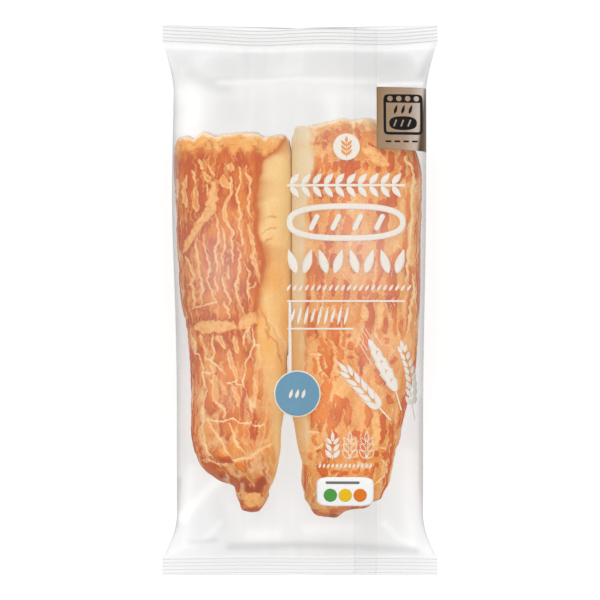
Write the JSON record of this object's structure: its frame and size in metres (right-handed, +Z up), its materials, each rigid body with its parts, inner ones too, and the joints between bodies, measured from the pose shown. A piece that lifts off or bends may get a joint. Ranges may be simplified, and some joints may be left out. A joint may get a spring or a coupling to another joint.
{
  "type": "tiger bread pack",
  "caption": "Clear film pouch round two half baguettes of tiger bread lying side by side, with a flat crimped seal across each end.",
  "frame": {"origin": "on the resting plane, under the middle of the pouch as it lies on its back", "axes": "+Z up, out of the pack's printed front; +Y towards the pack's upper end seal; +X to the right of its front"},
  "size_m": [0.157, 0.314, 0.0471],
  "materials": {
    "film": "clear glossy film with golden crust behind it",
    "crust": "baked bread with a cracked orange-brown tiger crust",
    "print": "off-white ink printed on the film",
    "label": "bronze ink printed on the film"
  },
  "bodies": {
    "root": {"pouch": "film"}
  },
  "joints": []
}
